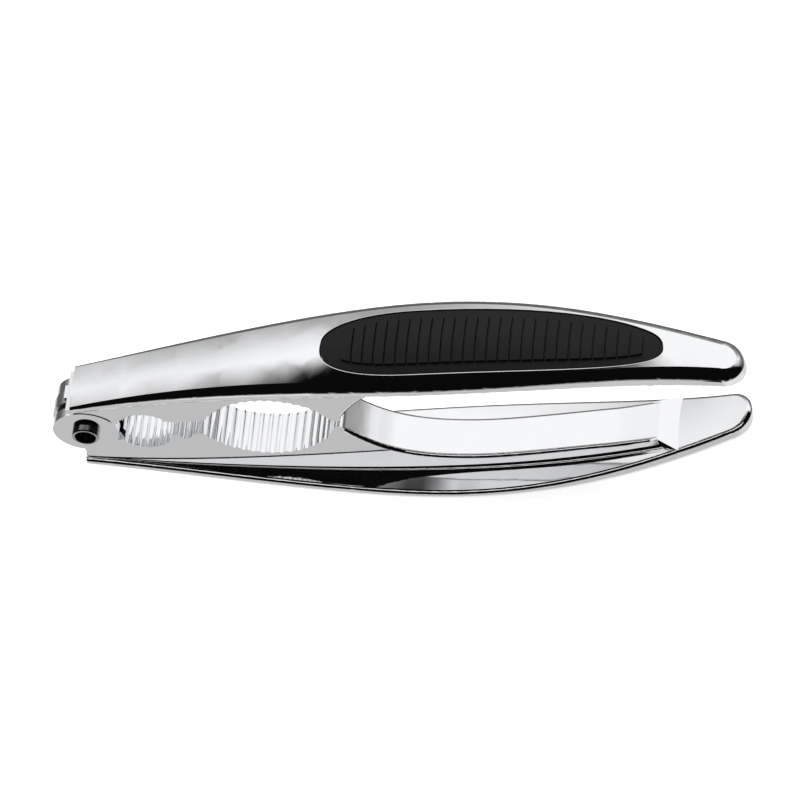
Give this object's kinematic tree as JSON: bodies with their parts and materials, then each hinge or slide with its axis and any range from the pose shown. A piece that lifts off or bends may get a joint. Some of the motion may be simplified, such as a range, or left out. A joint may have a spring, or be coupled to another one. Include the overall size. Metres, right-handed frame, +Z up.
{
  "type": "nutcracker",
  "caption": "Lever nutcracker: chromed cast levers on a riveted hinge, small and large toothed openings, ribbed soft inlays in the grips.",
  "frame": {"origin": "centre of the tool's box on the surface it rests on, with the tool lying on the back of its lower lever", "axes": "+X from the hinge to the grip ends, +Y along the hinge axis to the pin's headed side, +Z up from the lower lever to the upper one"},
  "size_m": [0.179, 0.0262, 0.0626],
  "materials": {
    "chromed_casting": "polished",
    "grip_rubber": "matt",
    "pin_steel": "satin",
    "washer_plastic": "matt"
  },
  "bodies": {
    "lower_arm": {"lower_lever": "chromed_casting", "lower_grip": "grip_rubber", "hinge_pin": "pin_steel", "hinge_washer": "washer_plastic"},
    "upper_arm": {"upper_lever": "chromed_casting", "upper_grip": "grip_rubber"}
  },
  "joints": [
    {"name": "lever_hinge", "type": "hinge", "parent": "lower_arm", "child": "upper_arm", "pos_m": [-0.0806, 0, 0.02026], "axis": [0, -1, 0], "range_deg": [-2, 140]}
  ]
}
